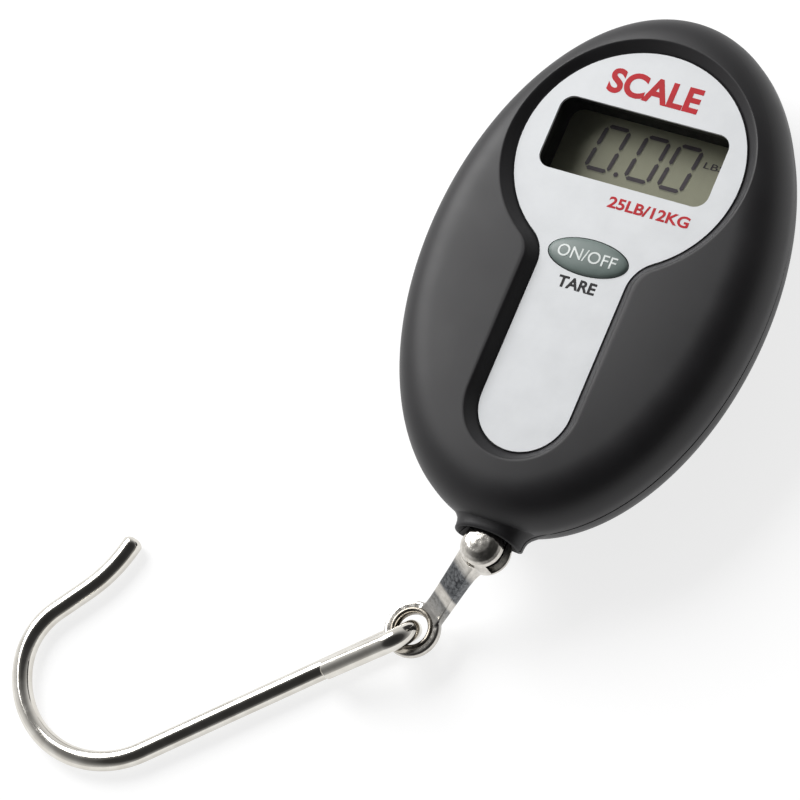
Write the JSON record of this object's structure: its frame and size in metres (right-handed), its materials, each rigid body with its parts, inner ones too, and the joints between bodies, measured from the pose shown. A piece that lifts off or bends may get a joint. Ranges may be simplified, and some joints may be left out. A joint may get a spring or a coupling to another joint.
{
  "type": "digital fish scale",
  "caption": "Hand-held digital fish scale: oval body with a deep-set display and one button, and a wire hook on a swinging link.",
  "frame": {"origin": "centre of the oval body on the plane that its back rests on", "axes": "+X to the right along the display, +Y towards the body's top, away from the hook, +Z out of the face"},
  "size_m": [0.1005, 0.1387, 0.0204],
  "materials": {
    "cover_front": "soft-touch satin",
    "cover_rear": "soft-touch satin",
    "label_silver": "fine satin silver",
    "window_clear": "clear",
    "holder_black": "matte",
    "display_grey": "satin",
    "connector_pink": "matte",
    "board_green": "solder mask",
    "epoxy_black": "semi gloss",
    "crystal_can": "satin",
    "switch_black": "matte",
    "plunger_cream": "matte",
    "button_grey": "matte",
    "screw_zinc": "zinc plated",
    "cell_aluminium": "machined",
    "gauge_foil": "foil on film",
    "wire_cover": "insulation",
    "cell_steel": "polished",
    "contact_brass": "satin",
    "seal_rubber": "matte",
    "door_black": "fine texture",
    "case_screw_steel": "dark zinc",
    "link_nickel": "bright nickel plate",
    "pin_steel": "turned",
    "eyelet_nickel": "bright nickel plate",
    "hook_nickel": "bright nickel plate"
  },
  "bodies": {
    "body": {"front_cover": "cover_front", "rear_cover": "cover_rear", "face_label": "label_silver", "display_window": "window_clear", "display_holder": "holder_black", "display_panel": "display_grey", "display_connectors": "connector_pink", "circuit_board": "board_green", "controller": "epoxy_black", "clock_crystal": "crystal_can", "switch_body": "switch_black", "board_screws": "screw_zinc", "load_cell": "cell_aluminium", "strain_gauges": "gauge_foil", "gauge_wires": "wire_cover", "load_cell_screws": "screw_zinc", "coin_cell": "cell_steel", "contact_negative": "contact_brass", "contact_positive": "contact_brass", "door_seal": "seal_rubber", "case_screws": "case_screw_steel"},
    "button": {"button": "button_grey", "switch_plunger": "plunger_cream"},
    "door": {"battery_door": "door_black"},
    "link": {"link": "link_nickel", "swing_pin": "pin_steel"},
    "eyelet": {"eyelet": "eyelet_nickel"},
    "hook": {"hook": "hook_nickel"}
  },
  "joints": [
    {"name": "link_swing", "type": "hinge", "parent": "body", "child": "link", "pos_m": [0, -0.0456, 0.0122], "axis": [0, 0, 1], "range_deg": [-15.5, 84.5]},
    {"name": "hook_swing", "type": "hinge", "parent": "link", "child": "eyelet", "pos_m": [-0.00935, -0.0592, 0.0044], "axis": [0, 0, 1], "range_deg": [-40, 112.5]},
    {"name": "hook_tilt", "type": "hinge", "parent": "eyelet", "child": "hook", "pos_m": [-0.0118, -0.06148, 0.0044], "axis": [-0.5965, 0.6397, 0.4848], "range_deg": [-15, 15]},
    {"name": "button_press", "type": "slide", "parent": "body", "child": "button", "axis": [0, 0, -1], "range_m": [0, 0.0005], "stiffness_N_per_m": 1500, "springref_m": -0.0003},
    {"name": "door_turn", "type": "hinge", "parent": "body", "child": "door", "pos_m": [0, 0.012, 0.0008], "axis": [0, 0, -1], "range_deg": [0, 45]}
  ]
}
